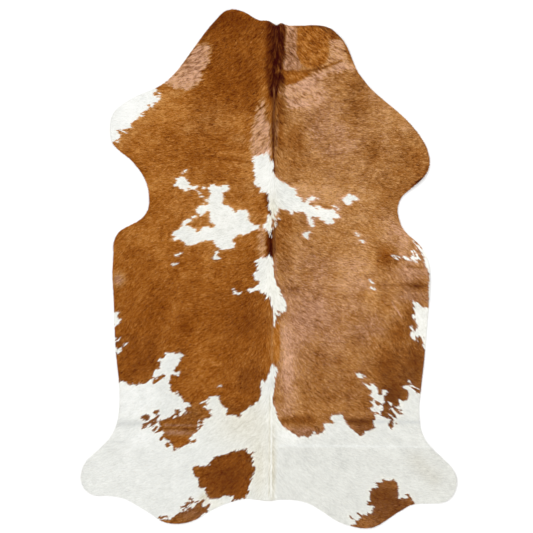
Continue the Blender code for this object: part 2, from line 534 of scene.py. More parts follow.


# ---- markings: where the coat is white

# Marks in millimetres: outlines read off ruled enlargements of the picture, then turned from
# pixels into millimetres and thinned. A fleck is its one end, its other end and half its width.
whitePatches = {
    "left of the back": [
        (-235, 339), (-221, 341), (-213, 334), (-197, 332), (-183, 339), (-163, 339), (-160, 325),
        (-167, 315), (-186, 307), (-187, 293), (-184, 282), (-190, 265), (-184, 258), (-165, 259),
        (-134, 231), (-125, 239), (-95, 239), (-76, 212), (-88, 200), (-66, 182), (-35, 172), (-38, 163),
        (-61, 157), (-79, 145), (-119, 137), (-138, 127), (-147, 118), (-138, 99), (-141, 84), (-157, 78),
        (-174, 79), (-192, 74), (-218, 96), (-229, 114), (-258, 115), (-278, 105), (-319, 93), (-342, 92),
        (-342, 108), (-365, 119), (-397, 119), (-377, 128), (-394, 134), (-388, 151), (-362, 163),
        (-348, 176), (-358, 177), (-345, 195), (-327, 203), (-307, 193), (-336, 179), (-319, 174),
        (-313, 165), (-296, 164), (-296, 151), (-284, 148), (-278, 161), (-263, 172), (-246, 173),
        (-235, 167), (-221, 172), (-221, 182), (-241, 184), (-241, 232), (-250, 236), (-258, 223),
        (-276, 216), (-290, 226), (-299, 238), (-284, 253), (-264, 261), (-253, 255), (-242, 267),
        (-245, 278), (-238, 299), (-241, 313), (-248, 321)],
    "below it": [
        (-220, 74), (-201, 72), (-206, 61), (-214, 54), (-201, 41), (-215, 35), (-235, 46), (-218, 61)],
    "left island": [
        (-385, 342), (-368, 357), (-383, 364), (-351, 373), (-339, 368), (-325, 354), (-321, 338),
        (-287, 335), (-287, 325), (-302, 322), (-351, 325), (-368, 332), (-384, 334)],
    "across the spine": [
        (-67, 455), (-44, 457), (-35, 462), (-19, 460), (-11, 479), (4, 457), (7, 440), (15, 432),
        (20, 438), (18, 404), (25, 376), (58, 346), (70, 345), (80, 339), (86, 327), (102, 327), (118, 321),
        (112, 315), (113, 297), (128, 294), (132, 284), (147, 270), (163, 267), (172, 255), (212, 254),
        (220, 244), (240, 240), (260, 242), (270, 236), (270, 226), (289, 212), (278, 206), (262, 203),
        (266, 187), (255, 180), (231, 183), (224, 195), (208, 197), (202, 203), (181, 203), (184, 190),
        (182, 172), (177, 165), (166, 178), (158, 189), (160, 206), (149, 221), (137, 228), (102, 230),
        (90, 220), (74, 236), (50, 244), (39, 238), (42, 228), (27, 216), (27, 201), (43, 206), (27, 189),
        (21, 177),
        (19, 161), (7, 149), (9, 130), (-23, 167), (-9, 193), (-9, 214), (10, 220), (-1, 238), (0, 250),
        (-5, 256), (-1, 264), (-5, 274), (-5, 295), (-1, 305), (-37, 308), (-39, 321), (-35, 327),
        (-56, 335), (-64, 350), (-52, 361), (-62, 382), (-63, 396), (-59, 408), (-68, 440)],
    "down the spine": [
        (-60, 30), (-34, 44), (-5, 43), (0, 58), (4, 57), (18, 33), (23, -41), (39, -59), (37, -73),
        (48, -91), (51, -104), (68, -129), (75, -160), (67, -174), (58, -175), (57, -183), (49, -180),
        (36, -167), (46, -203), (32, -186), (34, -221), (29, -210), (27, -225), (19, -237), (21, -194),
        (10, -149), (4, -144), (6, -129), (1, -113), (-4, -120), (-14, -122), (-18, -97), (-33, -97),
        (-42, -87), (-71, -94), (-92, -88), (-80, -79), (-65, -78), (-39, -61), (-41, -50), (-53, -48),
        (-63, -27), (-48, -6), (-49, 11)],
    "right island": [
        (295, 282), (329, 303), (339, 295), (357, 293), (368, 282), (353, 274), (343, 274), (333, 262),
        (321, 256), (303, 270)],
    "above the arm": [
        (163, 287), (175, 293), (204, 282), (187, 276), (147, 272), (145, 276)],
    "below the arm": [
        (137, 133), (141, 147), (171, 155), (159, 120)],
    "behind right foreleg": [
        (538, 44), (548, 50), (560, 52), (574, 35), (570, 30)],
    "beside it": [
        (576, 48), (580, 57), (589, 58), (594, 46), (597, 60), (602, 61), (615, 33), (596, 37), (602, 24),
        (578, 34)],
    "cut edge behind right foreleg": [
        (582, 125), (592, 98), (623, 48), (637, 5), (648, -30), (649, -75), (645, -128), (661, -160),
        (661, 133)],
    "right flank": [
        (584, -133), (596, -135), (633, -161), (661, -159), (661, -337), (632, -334), (627, -327),
        (622, -309), (628, -308), (626, -297), (619, -284), (624, -277), (610, -275), (608, -280),
        (590, -276), (592, -290), (579, -280), (574, -270), (580, -254), (568, -237), (581, -232),
        (587, -240), (589, -256), (597, -242), (604, -240), (604, -233), (597, -225), (600, -218),
        (587, -206), (580, -193), (596, -183), (596, -173), (586, -167)],
    "left flank, upper": [
        (-643, -175), (-602, -177), (-613, -195), (-609, -201), (-611, -207), (-594, -207), (-607, -218),
        (-643, -224)],
    "left flank, middle": [
        (-643, -274), (-625, -276), (-613, -282), (-627, -295), (-643, -297)],
    "left flank, lower": [
        (-643, -319), (-623, -319), (-611, -324), (-592, -320), (-609, -344), (-621, -337), (-643, -337)],
    "left foreleg": [
        (-683, 481), (-613, 521), (-601, 534), (-596, 540), (-617, 552), (-611, 560), (-600, 560),
        (-598, 554), (-578, 550), (-574, 553), (-592, 559), (-588, 568), (-572, 565), (-556, 574),
        (-558, 588), (-548, 601), (-513, 615), (-509, 635), (-489, 647), (-489, 663), (-485, 666),
        (-479, 661), (-471, 645), (-461, 646), (-468, 655), (-469, 674), (-461, 672), (-449, 676),
        (-440, 685), (-440, 711), (-455, 718), (-457, 731), (-440, 744), (-416, 756), (-408, 766),
        (-440, 805), (-683, 805)],
    "rump": [
        (-951, -463), (-606, -451), (-582, -459), (-566, -469), (-550, -467), (-534, -471), (-503, -465),
        (-465, -440), (-473, -432), (-469, -420), (-461, -411), (-441, -406), (-442, -380), (-447, -373),
        (-440, -366), (-423, -362), (-419, -341), (-380, -343), (-351, -337), (-350, -344), (-343, -350),
        (-346, -359), (-355, -362), (-370, -393), (-388, -414), (-374, -419), (-361, -414), (-368, -436),
        (-391, -430), (-403, -442), (-404, -461), (-396, -472), (-400, -479), (-396, -497), (-399, -501),
        (-384, -502), (-378, -508), (-371, -502), (-362, -504), (-360, -519), (-353, -526), (-344, -531),
        (-349, -541), (-326, -543), (-319, -552), (-316, -558), (-330, -561), (-340, -565), (-335, -573),
        (-342, -578), (-324, -582), (-351, -589), (-363, -595), (-388, -605), (-367, -590), (-355, -580),
        (-365, -577), (-364, -571), (-369, -566), (-376, -569), (-380, -581), (-386, -592), (-398, -603),
        (-413, -606), (-424, -611), (-443, -613), (-451, -624), (-441, -630), (-440, -638), (-452, -642),
        (-450, -650), (-451, -656), (-460, -665), (-451, -661), (-432, -660), (-427, -663), (-430, -673),
        (-428, -683), (-408, -690), (-393, -706), (-384, -734), (-339, -716), (-319, -702), (-323, -694),
        (-320, -684), (-301, -668), (-292, -657), (-287, -638), (-289, -624), (-285, -614), (-256, -606),
        (-238, -601), (-231, -592), (-244, -587), (-236, -574), (-253, -573), (-264, -566), (-261, -560),
        (-247, -547), (-268, -547), (-278, -545), (-270, -539), (-255, -536), (-239, -525), (-243, -518),
        (-200, -514), (-199, -519), (-207, -527),
        (-195, -533), (-190, -554), (-170, -568), (-171, -578), (-178, -586), (-169, -596), (-156, -592),
        (-120, -600), (-108, -594), (-115, -589), (-75, -559), (-56, -540), (-42, -533), (-34, -523),
        (-35, -497), (-32, -487), (-35, -467), (-26, -451), (-21, -457), (-12, -455), (-3, -438),
        (13, -388), (21, -396), (31, -397), (39, -414), (25, -442), (25, -478), (18, -504), (19, -535),
        (28, -578), (37, -604), (66, -647), (127, -682), (147, -677), (159, -683), (171, -679), (179, -661),
        (187, -663), (191, -671), (206, -673), (208, -666), (224, -659), (228, -646), (222, -637),
        (224, -629), (248, -628), (252, -600), (268, -594), (260, -591), (298, -588), (318, -632),
        (374, -681), (390, -669), (394, -657), (424, -650), (428, -640), (427, -625), (422, -613),
        (433, -611), (431, -600), (426, -591), (442, -592), (456, -600), (470, -604), (484, -611),
        (481, -602), (488, -606), (497, -614), (490, -617), (496, -628), (485, -632), (492, -642),
        (499, -652), (502, -640), (504, -628), (511, -628), (506, -620), (507, -611), (502, -603),
        (492, -598), (481, -590), (494, -591), (502, -596), (510, -604), (510, -598), (519, -598),
        (508, -585), (498, -579), (486, -566), (499, -567), (495, -556), (484, -539), (490, -540),
        (499, -551), (503, -559), (519, -559), (538, -554), (527, -543), (530, -528), (541, -532),
        (548, -536), (564, -533), (568, -519), (563, -503), (558, -493), (548, -487), (543, -479),
        (546, -473), (558, -473), (568, -475), (578, -483), (590, -492), (606, -502), (616, -508),
        (850, -523), (850, -1150), (-950, -1150)],
    "right of the tongue": [
        (380, -463), (394, -468), (405, -477), (411, -473), (415, -466), (427, -467), (435, -474),
        (439, -482), (440, -497), (449, -509), (458, -513), (460, -503), (461, -491), (468, -488),
        (476, -492), (489, -500), (477, -502), (474, -512), (464, -518), (467, -530), (474, -545),
        (465, -549), (462, -561), (461, -572), (455, -586), (438, -582), (423, -579), (413, -575),
        (409, -567), (426, -560), (425, -554), (419, -548), (410, -540), (419, -533), (418, -520),
        (410, -513), (421, -501), (411, -488), (400, -479)],
    "right spot": [
        (355, -420), (366, -418), (390, -436), (374, -444), (355, -432)],
}

brownIslands = {
    "round": [
        (-310, -811), (-302, -799), (-288, -794), (-280, -802), (-243, -796), (-226, -768), (-216, -760),
        (-199, -758), (-137, -737), (-100, -733), (-86, -727), (-92, -738), (-86, -742), (-87, -748),
        (-78, -751), (-63, -744), (-77, -764), (-59, -762), (-78, -779), (-61, -784), (-72, -791),
        (-56, -803), (-57, -819), (-69, -843), (-83, -900), (-96, -930), (-123, -934), (-150, -943),
        (-142, -927), (-177, -915), (-204, -930), (-221, -933), (-241, -934), (-253, -927), (-247, -918),
        (-255, -913), (-261, -888), (-277, -887), (-284, -880), (-281, -873), (-288, -854), (-297, -841)],
    "left rump edge": [
        (-481, -1022), (-393, -1014), (-374, -994), (-352, -985), (-340, -982), (-321, -972), (-313, -973),
        (-300, -961), (-287, -950), (-275, -940), (-265, -934), (-263, -939), (-273, -953), (-274, -962),
        (-268, -967), (-254, -963), (-253, -956), (-246, -950), (-239, -953), (-241, -962), (-250, -979),
        (-249, -988), (-260, -988), (-281, -1003), (-287, -1014), (-299, -1022), (-339, -1036),
        (-372, -1042)],
    "right rump edge": [
        (462, -848), (471, -854), (502, -854), (514, -862), (524, -878), (526, -890), (520, -895),
        (530, -913), (525, -919), (530, -930), (554, -934), (560, -924), (556, -916), (566, -913),
        (587, -942), (588, -957), (451, -1042), (402, -1058), (337, -1054), (334, -1035), (352, -1035),
        (355, -1020), (376, -1009), (382, -995), (394, -997), (410, -990), (426, -990), (413, -976),
        (430, -966), (426, -958), (408, -960), (398, -943), (410, -941), (406, -925), (410, -914),
        (406, -899), (415, -903), (413, -892), (444, -886), (433, -869), (453, -870), (463, -864)],
}

whiteFlecks = [
    (-351, 388, -340, 393, 2.5), (-341, 396, -336, 397, 3), (-342, 316, -327, 312, 3),
    (-293, 319, -275, 300, 4), (-282, 296, -262, 289, 3), (-264, 285, -252, 277, 3),
    (-264, 331, -260, 329, 4.5), (-314, 207, -297, 211, 2), (-374, 52, -357, 61, 5), (-388, 15, -372, 17, 4),
    (-147, -84, -137, -98, 6), (-125, -104, -116, -98, 4), (-619, -227, -608, -220, 3),
    (-621, -300, -605, -286, 4), (-585, -310, -574, -303, 3), (262, 258, 282, 242, 4),
    (353, 143, 366, 135, 4), (370, 114, 382, 110, 5), (505, 52, 532, 48, 4), (513, 42, 523, 41, 3),
    (583, 71, 592, 68, 4), (602, -293, 610, -301, 3), (412, -46, 424, -64, 2.2), (412, -76, 430, -84, 2.6),
    (565, -456, 582, -468, 3.2), (576, -472, 594, -483, 3), (594, -483, 614, -489, 1.6),
    (-206, -474, -189, -477, 2.6), (-617, 515, -611, 515, 3),
    (-18, 172, 12, 204, 6), (24, 211, 41, 204, 1.6), (26, 171, 42, 199, 1.6), (-3, 160, 4, 134, 3),
]

brownFlecks = [
    (-465, -459, -428, -436, 6), (-504, -604, -493, -601, 11), (-465, -580, -448, -576, 4),
    (-457, -586, -450, -580, 4), (-481, -622, -453, -600, 6), (-503, -634, -489, -626, 7),
    (-474, -634, -455, -619, 6), (-510, -642, -504, -638, 4), (-466, -654, -454, -642, 4),
    (-282, -622, -259, -611, 1.5), (-320, -966, -315, -974, 3), (-347, -975, -345, -980, 3),
    (-413, -713, -411, -710, 8), (-335, -708, -297, -697, 4), (-281, -645, -272, -625, 5),
    (-440, -690, -428, -682, 5),
    (-609, -457, -608, -457, 4), (436, -540, 452, -556, 5), (515, -571, 529, -581, 6.5),
    (530, -582, 539, -588, 3), (490, -575, 512, -595, 4.5), (494, -605, 505, -617, 3.5),
    (497, -622, 498, -643, 6.5), (470, -556, 478, -592, 8), (588, -208, 602, -232, 5),
    (515, -622, 516, -627, 2),
    (195, 246, 200, 240, 1),
    (179, 206, 204, 206, 4), (250, -609, 260, -626, 3), (-465, 706, -442, 702, 4),
    (-451, 694, -442, 693, 3), (-526, 617, -525, 613, 4), (-517, 624, -511, 625, 3), (27, 209, 37, 207, 5),
    (562, 52, 576, 33, 3), (588, 64, 594, 52, 3), (-351, -965, -336, -965, 4), (-336, -952, -319, -948, 4),
    (-319, -948, -302, -942, 3), (-322, -934, -311, -934, 3), (-299, -945, -285, -943, 2),
    (-440, -1008, -412, -1004, 4), (326, -1002, 340, -1015, 3), (364, -994, 371, -997, 2),
    (384, -1003, 392, -1001, 4), (9, 224, 6, 214, 2.5), (17, 196, 22, 164, 3.5), (30, 199, 30, 190, 2.5),
    (12, 176, 10, 150, 1.2), (597, 107, 604, 99, 4), (618, 92, 620, 84, 3.5), (623, 56, 628, 48, 3.5),
]

borders = {
    "ragged": 0.0023,       # how far streaks of hair run over a border
    "stray": 0.0009,        # how far a single lock may be out of line
    "shift": 0.0006,        # the brown reaches this much further, for the white hair that lies over it
    "brownGrowth": 0.0004,  # and brown flecks are this much wider besides
    "areaRagged": 0.20,     # the same for areas within the brown, as a share of their edge
    "sidesEdge": 0.006,     # the left side's tone turns into the right side's over this width
    "ruffledEdge": 0.020,   # and ruffled hair into smooth over this
}


def inMetres(marks):
    return np.array(marks) / 1000


def mound(x, y, halfX, halfY):
    # 1 in the middle of a soft oval, given in millimetres, falling to a third at its rim
    return np.exp(-((gridX * 1000 - x) / halfX) ** 2 - ((gridY * 1000 - y) / halfY) ** 2)


def whiteField():
    # above 0 where the coat is white, in metres from the border
    white = np.full(gridX.shape, -chart["reach"])
    for outline in whitePatches.values():
        white = np.maximum(white, depthInside(inMetres(outline)))
    for x0, y0, x1, y1, halfWidth in inMetres(whiteFlecks):
        white = np.maximum(white, halfWidth - lineDistance(gridX, gridY, (x0, y0), (x1, y1)))
    for outline in brownIslands.values():
        white = np.minimum(white, -depthInside(inMetres(outline)))
    for x0, y0, x1, y1, halfWidth in inMetres(brownFlecks):
        away = lineDistance(gridX, gridY, (x0, y0), (x1, y1)) - halfWidth - borders["brownGrowth"]
        white = np.minimum(white, away)
    return white - borders["shift"] + borders["ragged"] * shortStreaks


white = whiteField()
print("white patches laid out")


# ---- tone and sheen of the brown, tone and cream of the white

# Soft ovals, laid one over the other: across, along, half width, half length, tone 0 dark to 1 light,
# sheen 0 red-brown, 0.5 tan and 1 rosy. The tones and sheens were first set, and then most were
# moved towards the picture's mean colour in the oval.
# Sheen is painted: high sheen is the rosy light glancing off glossy hair, and middle sheen also gives the
# hair's own olive tan.
brownBase = {"left": (0.54, 0.03), "right": (0.64, 0.45)}
brownOvals = {
    "neck left": (-160, 840, 150, 200, 0.42, 0),
    "neck low left": (-120, 740, 140, 70, 0.38, 0),
    "neck top left": (-160, 1010, 120, 50, 0.29, 0),
    "beside the mane left": (-20, 760, 18, 160, 0.51, 0),
    "below that": (-24, 705, 18, 40, 0.64, 0),
    "shoulder left": (-420, 640, 120, 90, 0.74, 0),
    "leg left": (-520, 520, 100, 90, 0.74, 0),
    "grey shoulder left": (-220, 600, 80, 70, 0.59, 0.15),
    "behind leg left": (-280, 500, 130, 45, 0.57, 0),
    "around the left patch": (-240, 190, 150, 130, 0.79, 0.1),
    "back left": (-80, 400, 60, 70, 0.66, 0.1),
    "bright by the spine left": (-130, 585, 40, 60, 0.66, 0.05),
    "above the left patch": (-193, 415, 40, 22, 0.68, 0.05),
    "bright below the white tip": (-80, 325, 26, 30, 0.86, 0.35),
    "bright beside the pink": (-114, 522, 28, 24, 0.78, 0.3),
    "left of the left patch": (-408, 195, 40, 40, 0.84, 0),
    "bright below the pink": (-385, 710, 34, 16, 0.88, 0.2),
    "armpit left": (-460, 350, 100, 60, 0.72, 0),
    "belly left": (-480, 130, 150, 90, 0.65, 0),
    "flank left": (-520, -50, 90, 80, 0.54, 0),
    "flank spot left": (-610, -45, 25, 25, 0.60, 1),
    "gold belly left": (-350, 0, 90, 100, 0.62, 0),
    "above that": (-416, 68, 35, 35, 0.74, 0),
    "flank dark left": (-460, -150, 70, 40, 0.45, 0),
    "lower flank left": (-530, -370, 100, 120, 0.38, 0.1),
    "dark spot left": (-335, -235, 30, 35, 0.33, 0),
    "gold left": (-260, -380, 45, 110, 0.62, 0),
    "spine lower left": (-90, -210, 100, 130, 0.39, 0.05),
    "loin left": (-70, -450, 60, 90, 0.37, 0.15),
    "dark by the lower spine": (-27, -256, 25, 50, 0.36, 0.05),
    "loin lobe left": (-150, -580, 60, 40, 0.39, 0.2),
    "tongue upper left": (-320, -590, 70, 40, 0.42, 0.4),
    "between white left": (-105, 285, 50, 60, 0.68, 0.1),
    "under white left": (-60, 210, 40, 25, 0.72, 0.2),
    "top right": (180, 970, 110, 25, 0.23, 0.4),
    "top corner right": (260, 930, 30, 30, 0.38, 0),
    "corner edge right": (325, 880, 20, 30, 0.22, 0.5),
    "under fold right": (120, 785, 60, 20, 0.46, 0.05),
    "tan right": (170, 720, 80, 70, 0.88, 0.85),
    "back right": (260, 560, 120, 130, 0.66, 0.75),
    "shoulder right": (360, 690, 65, 110, 0.43, 0.4),
    "pale in the shoulder right": (422, 700, 24, 30, 0.76, 0.7),
    "dark on the shoulder right": (420, 602, 26, 28, 0.52, 0.35),
    "pale below the diagonal": (203, 690, 26, 24, 0.95, 0.85),
    "pale above the arm": (245, 272, 60, 14, 0.92, 0.6),
    "leg front right": (510, 610, 90, 45, 0.80, 0.45),
    "spine right": (90, 520, 60, 130, 0.50, 0.3),
    "bright by the spine right": (110, 600, 25, 32, 0.74, 0.5),
    "dark back right": (125, 500, 25, 30, 0.39, 0.25),
    "pale back right": (318, 496, 45, 25, 0.87, 0.8),
    "pale on the leg right": (556, 570, 28, 20, 0.92, 0.6),
    "inner leg right": (425, 470, 30, 50, 0.40, 0.3),
    "leg right": (600, 430, 70, 100, 0.52, 0.25),
    "dark on the leg right": (532, 388, 30, 20, 0.48, 0.2),
    "behind leg right": (490, 290, 70, 60, 0.51, 0.3),
    "back lower right": (240, 310, 160, 40, 0.83, 0.55),
    "dark by the inner leg": (424, 335, 26, 22, 0.58, 0.2),
    "pale by the arm's root": (122, 325, 34, 20, 0.92, 0.6),
    "under the arm": (126, 158, 22, 20, 0.78, 0.4),
    "under white right": (70, 180, 35, 60, 0.51, 0.15),
    "right of the valley": (44, 110, 26, 50, 0.38, 0.25),
    "band right": (500, 160, 50, 60, 0.79, 0.85),
    "belly gold right": (330, 150, 140, 60, 0.70, 0.42),
    "belly pale right": (370, 0, 74, 110, 0.86, 0.68),
    "pale by the right edge": (545, 108, 35, 50, 0.88, 0.9),
    "flank dark right": (475, 50, 45, 45, 0.33, 0.1),
    "gold left of it": (424, 64, 22, 26, 0.82, 0.4),
    "tan in the band": (513, 120, 20, 18, 0.70, 0.5),
    "belly right": (570, -15, 70, 40, 0.75, 1),
    "edge right": (600, -71, 42, 14, 0.12, 0.6),
    "under edge right": (590, -115, 60, 25, 0.50, 0.85),
    "spine mid right": (70, 20, 28, 80, 0.44, 0.45),
    "mid right": (180, 20, 80, 90, 0.59, 0.65),
    "lower right": (190, -190, 130, 110, 0.65, 1),
    "pale loin right": (118, -265, 30, 50, 0.75, 1),
    "left of the right teeth": (390, -542, 22, 30, 0.36, 0.5),
    "dark mid right": (105, -85, 30, 18, 0.35, 0.65),
    "mid low right": (400, -250, 90, 60, 0.57, 0.65),
    "dark flank teeth": (575, -200, 25, 50, 0.33, 0.35),
    "loin upper right": (200, -370, 120, 60, 0.52, 0.65),
    "loin right": (290, -490, 130, 80, 0.48, 0.5),
    "lower flank right": (490, -400, 80, 85, 0.34, 0.3),
    "dark by the flank patch": (528, -265, 42, 48, 0.34, 0.2),
    "lower flank edge": (590, -400, 60, 120, 0.28, 0.45),
    "low teeth right": (505, -515, 65, 75, 0.18, 0.4),
    "flecks below them": (485, -620, 45, 40, 0.21, 0.45),
    "pink strip": (80, -400, 32, 190, 0.83, 1),
    "pink strip's end": (74, -590, 26, 30, 0.66, 0.8),
    "tongue right": (160, -665, 90, 22, 0.42, 0.95),
    "tongue right end": (385, -658, 60, 45, 0.29, 0.6),
    "teeth left": (-485, -615, 50, 60, 0.27, 0.6),
    "beside the leg left": (-330, 566, 34, 24, 0.80, 0.15),
    "round": (-170, -840, 150, 150, 0.28, 0.18),
    "bottom right": (470, -940, 150, 130, 0.22, 0.55),
    "bottom left": (-320, -980, 110, 70, 0.36, 0.75),
}

# Areas with a clear edge: tone, sheen, edge width, outline. Most are painted sheen, where the hair lies the
# other way to the light; the golden ones and the mane are the hair's own colour.
brownAreas = {
    "left shoulder": (0.85, 0.92, 20, [
        (-287, 906), (-258, 914), (-232, 892), (-242, 854), (-250, 821), (-272, 797), (-280, 764),
        (-299, 736), (-339, 724), (-384, 730), (-428, 764), (-392, 803), (-360, 833), (-332, 864)]),
    "diagonal": (0.84, 0.9, 18, [
        (33, 728), (66, 736), (106, 748), (147, 768), (187, 789), (228, 809), (289, 837), (337, 849),
        (357, 801), (309, 801), (248, 785), (208, 768), (187, 744), (171, 704), (163, 663), (131, 655),
        (82, 651), (66, 683), (42, 704)]),
    "fringe of the mane": (0.58, 0.9, 10, [
        (62, 987), (114, 987), (118, 951), (110, 902), (114, 870), (135, 829), (127, 801), (86, 797),
        (62, 805), (58, 845), (66, 906), (70, 959)]),
    "corner": (0.73, 0.68, 12, [
        (244, 930), (301, 926), (321, 874), (337, 854), (353, 813), (329, 829), (301, 841), (272, 829),
        (252, 817), (216, 817), (240, 837), (244, 886)]),
    "golden neck": (0.61, 0.0, 12, [
        (118, 975), (159, 985), (200, 980), (240, 950), (244, 906), (240, 866), (232, 837), (212, 821),
        (187, 813), (159, 813), (131, 833), (114, 866), (114, 906)]),
    "golden wedge": (0.55, 0.0, 8, [
        (42, 797), (98, 801), (167, 801), (171, 789), (139, 768), (106, 748), (66, 744), (46, 768)]),
    "beside the spine": (0.80, 0.9, 24, [
        (-22, 690), (-46, 645), (-58, 600), (-72, 540), (-76, 500), (-66, 455), (5, 455), (9, 500), (7, 560),
        (-8, 610), (-14, 640)]),
    # painted highlight on the slope down into the spine's valley
    "beside the valley": (0.76, 0.65, 30, [
        (-41, 170), (-12, 170), (-14, 40), (-35, 40), (-46, 104)]),
    "gold strip": (0.66, 0.0, 8, [
        (17, -232), (42, -200), (46, -309), (43, -361), (33, -378), (17, -378)]),
    "mane": (0.05, 0.25, 10, [
        (-3, 1012), (29, 975), (66, 996), (70, 975), (65, 910), (67, 858), (56, 830), (59, 795), (67, 765),
        (64, 740), (40, 728), (34, 690), (1, 690), (-3, 740), (-8, 800), (-3, 850), (0, 947)]),
}

# Thin lines: tone, sheen, half width, points. Many are painted shade along the bottoms of creases and folds,
# with painted highlight or sheen beside them; others are the hair's own colour.
brownLines = {
    # painted shade and highlight of a crease across the left shoulder's sheen
    "dark in the left shoulder": (0.56, 0.9, 9, [(-348, 841), (-290, 833)]),
    "pale in the left shoulder": (1.0, 0.9, 3, [(-348, 826), (-259, 822)]),
    "dark below that": (0.62, 0.9, 3, [(-335, 815), (-275, 813)]),
    # painted highlight above a crease in the left back, and painted shade in it
    "above the crease": (0.78, 0.05, 12, [(-200, 468), (-90, 466)]),
    "crease in the left back": (0.42, 0.0, 3, [(-220, 442), (-150, 440), (-68, 430)]),
    "along the left foreleg": (0.80, 0.1, 26, [(-600, 500), (-520, 590), (-430, 690)]),
    "beside the mane": (0.16, 0.1, 13, [(1, 1000), (-1, 860), (0, 760)]),
    "mane groove": (0.0, 0.3, 4, [(33, 990), (30, 850), (33, 745), (20, 730)]),
    "right of the groove": (0.32, 0.2, 17, [(46, 690), (47, 625)]),
    "lower right of the groove": (0.44, 0.15, 14, [(48, 600), (48, 500)]),
    "right of the groove's end": (0.62, 0.35, 11, [(46, 475), (48, 430)]),
    "spine groove": (0.04, 0.5, 8, [(21, 732), (23, 683), (20, 620), (19, 560), (18, 500)]),
    "mauve in the groove": (0.24, 0.9, 3, [(22, 735), (21, 640), (19, 560)]),
    "mauve right of it": (0.31, 0.8, 6, [(33, 600), (31, 500)]),
    "spine groove end": (0.10, 0.6, 5, [(18, 500), (19, 450), (21, 410), (23, 388)]),
    "corner's brown edge": (0.42, 0.3, 12, [(316, 905), (330, 850)]),
    "spikes at the diagonal's root": (0.42, 0.6, 11, [(56, 738), (60, 690)]),
    # painted shade down into the valley of the spine's fold and at its bottom
    "valley shade": (0.08, 0.0, 14, [(3, 150), (3, 48)]),
    "valley": (0.0, 0.0, 8, [(10, 155), (10, 100), (12, 50)]),
    "valley rise": (0.17, 0.7, 6, [(24, 150), (23, 60)]),
    "under the valley": (0.50, 0.8, 5, [(29, 42), (33, -45), (58, -90)]),
    # painted shade along the shoulder fold
    "shoulder fold": (0.32, 0.2, 5, [(33, 801), (127, 797), (212, 809), (248, 825), (297, 841)]),
    # painted shade along the left side of the white tuft
    "left of the tuft": (0.12, 0.1, 9, [(-10, 295), (-5, 258), (6, 225)]),
    "right of the tuft": (0.15, 0.1, 7, [(43, 195), (32, 180), (24, 160)]),
    # painted shade along the cross folds, with painted sheen above and below the left one
    "right cross fold": (0.38, 0.30, 19, [(60, -615), (180, -615)]),
    "right cross fold end": (0.18, 0.40, 15, [(330, -618), (430, -620)]),
    "left fold": (0.22, 0.4, 5, [(-440, -648), (-300, -650)]),
    "sheen above it": (0.46, 0.9, 6, [(-420, -633), (-292, -636)]),
    "sheen below it": (0.51, 1.0, 11, [(-410, -664), (-299, -666)]),
    # painted shadow where the right foreleg's edge curls off the floor
    "foreleg edge": (0.25, 0.2, 4, [(578, 330), (600, 351), (623, 366), (634, 388), (641, 412)]),
    "foreleg back edge": (0.0, 0.0, 4, [(599, 350), (622, 365)]),
    # painted highlight and shade along faint creases in the right flank
    "flank stroke": (0.80, 0.9, 3, [(499, -135), (540, -199)]),
    "flank crease": (0.36, 0.4, 4, [(562, 8), (630, 3)]),
    "faint flank crease": (0.44, 0.5, 6, [(440, -66), (520, -70), (580, -66)]),
}

# Where the hair lies ruffled, in strong streaks: areas by name, and ovals with how much more.
ruffledOvals = {
    "right of the groove": (50, 580, 24, 120, 0.9),
    "left of the groove": (-35, 560, 30, 110, 0.6),
    "tan right": (170, 720, 90, 60, 0.35),
}
ruffledAreas = ("left shoulder", "diagonal", "fringe of the mane", "corner", "beside the spine", "mane",
                "golden neck")

whiteBase = {"left": (0.57, 0.05), "right": (0.46, 0.12)}
whiteOvals = {
    "spine patch": (-20, 380, 50, 90, 0.92, 0.25),
    "left patch": (-220, 200, 150, 120, 0.88, 0.3),
    "left island": (-350, 345, 70, 50, 0.88, 0.3),
    "right arm": (240, 245, 160, 60, 0.97, 0.25),
    "tuft": (15, 210, 28, 80, 0.60, 1.0),
    "down the spine": (20, -80, 70, 140, 0.84, 0.5),
    "left foreleg": (-560, 640, 190, 160, 1.0, 0.0),
    "behind right foreleg": (610, 60, 70, 80, 1.0, 0.1),
    "right flank": (625, -240, 60, 110, 0.85, 0.3),
    "left rump": (-550, -540, 90, 110, 0.82, 0.0),
    "left hock": (-515, -690, 60, 30, 0.72, 0.0),
    "cream over the loin": (-100, -620, 130, 110, 0.66, 0.7),
    "cream by the spine": (-40, -800, 45, 150, 0.60, 0.75),
    "spine over the rump": (16, -800, 14, 150, 0.34, 0.9),
    "beside the right tongue": (90, -675, 50, 40, 0.80, 0.1),
    "below the round patch": (-215, -955, 45, 25, 0.72, 0.5),
    "right hind toe": (680, -850, 80, 80, 0.29, 0.1),
    "between the bottom left patches": (-262, -930, 22, 20, 0.36, 1.0),
}
whiteAreas = {
    # painted shade: the white below the rump crease is darker, as the hide there is turned away from the
    # light
    "below the rump crease": (0.42, 0.15, 7, [
        (35, -724), (670, -730), (900, -760), (900, -1150), (20, -1150), (35, -800)]),
}
whiteLines = {
    # painted shade along the folds and creases of the white, and a painted highlight above the rump crease
    "left cross fold": (0.32, 0.0, 16, [(-615, -627), (-520, -629)]),
    "left crease": (0.36, 0.0, 4, [(-640, -699), (-590, -702)]),
    "right cross fold": (0.22, 0.0, 8, [(430, -619), (650, -621)]),
    "above the rump crease": (0.58, 0.0, 4, [(45, -717), (329, -718), (650, -722)]),
    "cream on the right toe": (0.38, 0.35, 35, [(600, -780), (670, -850)]),
    # painted shade and painted highlight either side of the spine's ridge
    "spine shade": (0.48, 0.8, 3, [(4, -520), (1, -920)]),
    "spine ridge": (0.90, 0.3, 3, [(12, -500), (9, -920)]),
}


def layOver(fields, amount, values):
    return [field + (value - field) * amount for field, value in zip(fields, values)]


